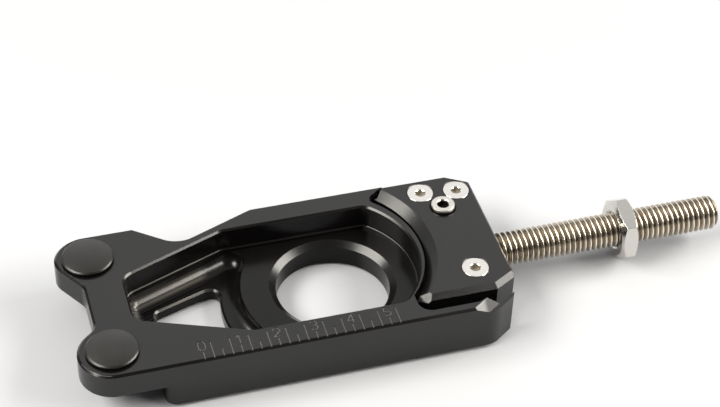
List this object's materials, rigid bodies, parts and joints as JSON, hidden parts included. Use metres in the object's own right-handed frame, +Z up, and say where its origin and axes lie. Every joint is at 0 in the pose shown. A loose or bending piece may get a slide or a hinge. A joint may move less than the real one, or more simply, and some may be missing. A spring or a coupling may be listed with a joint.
{
  "type": "motorcycle chain adjuster",
  "caption": "Flat machined chain adjuster plate with an axle bore in a recessed pocket, two eared tabs, an engraved scale, and a screwed-on end block that holds a threaded stud with a lock nut.",
  "frame": {"origin": "axle bore axis, on the plane of the foot that stands on the swing arm", "axes": "+Z up along the axle bore to the side with the pocket and scale; +X along the threaded stud towards its free end; +Y away from the scale edge"},
  "size_m": [0.1484, 0.0428, 0.0147],
  "materials": {
    "anodised_body": "satin black anodised",
    "anodised_block": "satin black anodised",
    "screw_steel": "bright stainless",
    "stud_steel": "bright rolled stainless thread",
    "nut_steel": "bright stainless",
    "plug_finish": "satin dark anodised"
  },
  "bodies": {
    "adjuster": {"main_body": "anodised_body", "end_block": "anodised_block", "countersunk_screw_far_left": "screw_steel", "countersunk_screw_far_right": "screw_steel", "countersunk_screw_near": "screw_steel", "cap_screw": "screw_steel", "threaded_stud": "stud_steel", "domed_plug_far": "plug_finish", "domed_plug_near": "plug_finish"},
    "lock_nut": {"lock_nut": "nut_steel"}
  },
  "joints": [
    {"name": "lock_nut_run", "type": "slide", "parent": "adjuster", "child": "lock_nut", "axis": [1, 0, 0], "range_m": [-0.0282, 0.0196]}
  ]
}
